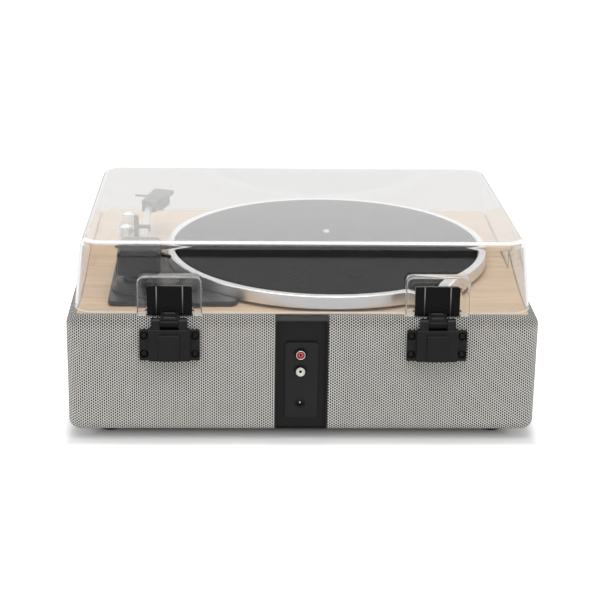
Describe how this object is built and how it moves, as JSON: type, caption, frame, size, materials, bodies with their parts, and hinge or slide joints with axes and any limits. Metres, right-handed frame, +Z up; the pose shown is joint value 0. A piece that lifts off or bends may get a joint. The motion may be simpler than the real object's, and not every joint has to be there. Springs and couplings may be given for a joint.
{
  "type": "all-in-one record player",
  "caption": "Record player with loudspeakers in a cloth-covered plinth, an oak deck, a platter, a tonearm and a clear lid on two rear hinges.",
  "frame": {"origin": "centre of the bounding box in plan, on the surface that the feet stand on", "axes": "+X to the right seen from the front, +Y to the rear with the sockets, +Z up"},
  "size_m": [0.42, 0.3434, 0.1828],
  "materials": {
    "speaker_cloth": "grey and black woven loudspeaker cloth",
    "fibreboard": "plain fibreboard",
    "oak_veneer": "light oak veneer, matt",
    "black_rubber": "matt black rubber",
    "black_plastic": "moulded black plastic",
    "satin_black_plastic": "satin black plastic",
    "nickel": "bright nickel plate",
    "red_insulator": "red plastic",
    "white_insulator": "white plastic",
    "zinc_plated_steel": "zinc-plated steel",
    "cone_paper": "black coated paper",
    "circuit_board": "green circuit board",
    "knob_chrome": "bright chrome",
    "turned_brass": "turned brass",
    "turned_aluminium": "turned aluminium",
    "mat_felt": "black felt",
    "cast_zinc": "cast zinc",
    "clear_acrylic": "clear acrylic, slightly smoked",
    "black_screw": "blackened steel"
  },
  "bodies": {
    "plinth": {"fabric_cover": "speaker_cloth", "front_board": "fibreboard", "rear_board": "fibreboard", "left_board": "fibreboard", "right_board": "fibreboard", "base_panel": "fibreboard", "deck_board": "oak_veneer", "foot_front_left": "black_rubber", "foot_front_right": "black_rubber", "foot_rear_left": "black_rubber", "foot_rear_right": "black_rubber", "rear_panel": "black_plastic", "socket_plate": "satin_black_plastic", "phono_sleeve_red": "nickel", "phono_insulator_red": "red_insulator", "phono_sleeve_white": "nickel", "phono_insulator_white": "white_insulator", "power_inlet": "black_plastic", "speaker_basket_left": "zinc_plated_steel", "speaker_basket_right": "zinc_plated_steel", "speaker_cone_left": "cone_paper", "speaker_cone_right": "cone_paper", "amplifier_board": "circuit_board", "control_board": "circuit_board", "motor_body": "zinc_plated_steel", "drive_belt": "black_rubber", "bearing_well": "turned_brass", "arm_base": "satin_black_plastic", "arm_rest": "black_plastic", "hinge_base_left": "black_plastic", "hinge_base_right": "black_plastic", "hinge_screw_1": "black_screw", "hinge_screw_2": "black_screw", "hinge_screw_3": "black_screw", "hinge_screw_4": "black_screw", "hinge_screw_5": "black_screw", "hinge_screw_6": "black_screw", "hinge_screw_7": "black_screw", "hinge_screw_8": "black_screw"},
    "lid": {"lid": "clear_acrylic", "lid_bumper_left": "black_rubber", "lid_bumper_right": "black_rubber", "hinge_leaf_left": "black_plastic", "hinge_leaf_right": "black_plastic"},
    "platter": {"platter": "turned_aluminium", "slip_mat": "mat_felt", "spindle": "zinc_plated_steel"},
    "pulley": {"motor_pulley": "turned_brass"},
    "yoke": {"arm_yoke": "satin_black_plastic"},
    "arm": {"arm_housing": "satin_black_plastic", "counterweight": "cast_zinc", "arm_tube": "turned_aluminium", "headshell": "black_plastic", "cartridge": "satin_black_plastic"},
    "cue_lever": {"cue_lever": "black_plastic"},
    "cue_bar": {"cue_bar": "black_plastic"},
    "arm_clip": {"arm_clip": "black_plastic"},
    "speed_switch": {"speed_switch": "black_plastic"},
    "volume_knob": {"volume_knob": "knob_chrome"},
    "selector_knob": {"selector_knob": "knob_chrome"}
  },
  "joints": [
    {"name": "lid_hinge", "type": "hinge", "parent": "plinth", "child": "lid", "pos_m": [0, 0.16575, 0.1136], "axis": [-1, 0, 0], "range_deg": [0, 75]},
    {"name": "platter_spin", "type": "hinge", "parent": "plinth", "child": "platter", "pos_m": [-0.027, -0.00625, 0.1214], "axis": [0, 0, -1], "continuous": true},
    {"name": "pulley_spin", "type": "hinge", "parent": "plinth", "child": "pulley", "pos_m": [-0.11875, -0.07049, 0.1229], "axis": [0, 0, -1], "continuous": true},
    {"name": "arm_swing", "type": "hinge", "parent": "plinth", "child": "yoke", "pos_m": [0.1475, 0.09475, 0.1332], "axis": [0, 0, -1], "range_deg": [0, 40]},
    {"name": "arm_lift", "type": "hinge", "parent": "yoke", "child": "arm", "pos_m": [0.1475, 0.09475, 0.1494], "axis": [-1, 0, 0], "range_deg": [0, 2.5]},
    {"name": "cue_lever_turn", "type": "hinge", "parent": "plinth", "child": "cue_lever", "pos_m": [0.169, 0.05075, 0.1284], "axis": [-1, 0, 0], "range_deg": [0, 50]},
    {"name": "cue_bar_rise", "type": "slide", "parent": "plinth", "child": "cue_bar", "axis": [0, 0, 1], "range_m": [0, 0.0021]},
    {"name": "arm_clip_turn", "type": "hinge", "parent": "plinth", "child": "arm_clip", "pos_m": [0.1538, 0.0283, 0.1586], "axis": [0, 1, 0], "range_deg": [0, 100]},
    {"name": "speed_switch_slide", "type": "slide", "parent": "plinth", "child": "speed_switch", "axis": [1, 0, 0], "range_m": [0, 0.007]},
    {"name": "volume_turn", "type": "hinge", "parent": "plinth", "child": "volume_knob", "pos_m": [0.1696, -0.08925, 0.1187], "axis": [0, 0, -1], "range_deg": [0, 300]},
    {"name": "selector_turn", "type": "hinge", "parent": "plinth", "child": "selector_knob", "pos_m": [0.1696, -0.04625, 0.1187], "axis": [0, 0, -1], "range_deg": [0, 90]}
  ],
  "couplings": [
    {"joint": "pulley_spin", "follows": "platter_spin", "ratio": 13.016},
    {"joint": "arm_lift", "follows": "cue_bar_rise", "rad_per_m": 20.777},
    {"joint": "cue_lever_turn", "follows": "cue_bar_rise", "rad_per_m": 415.55}
  ]
}
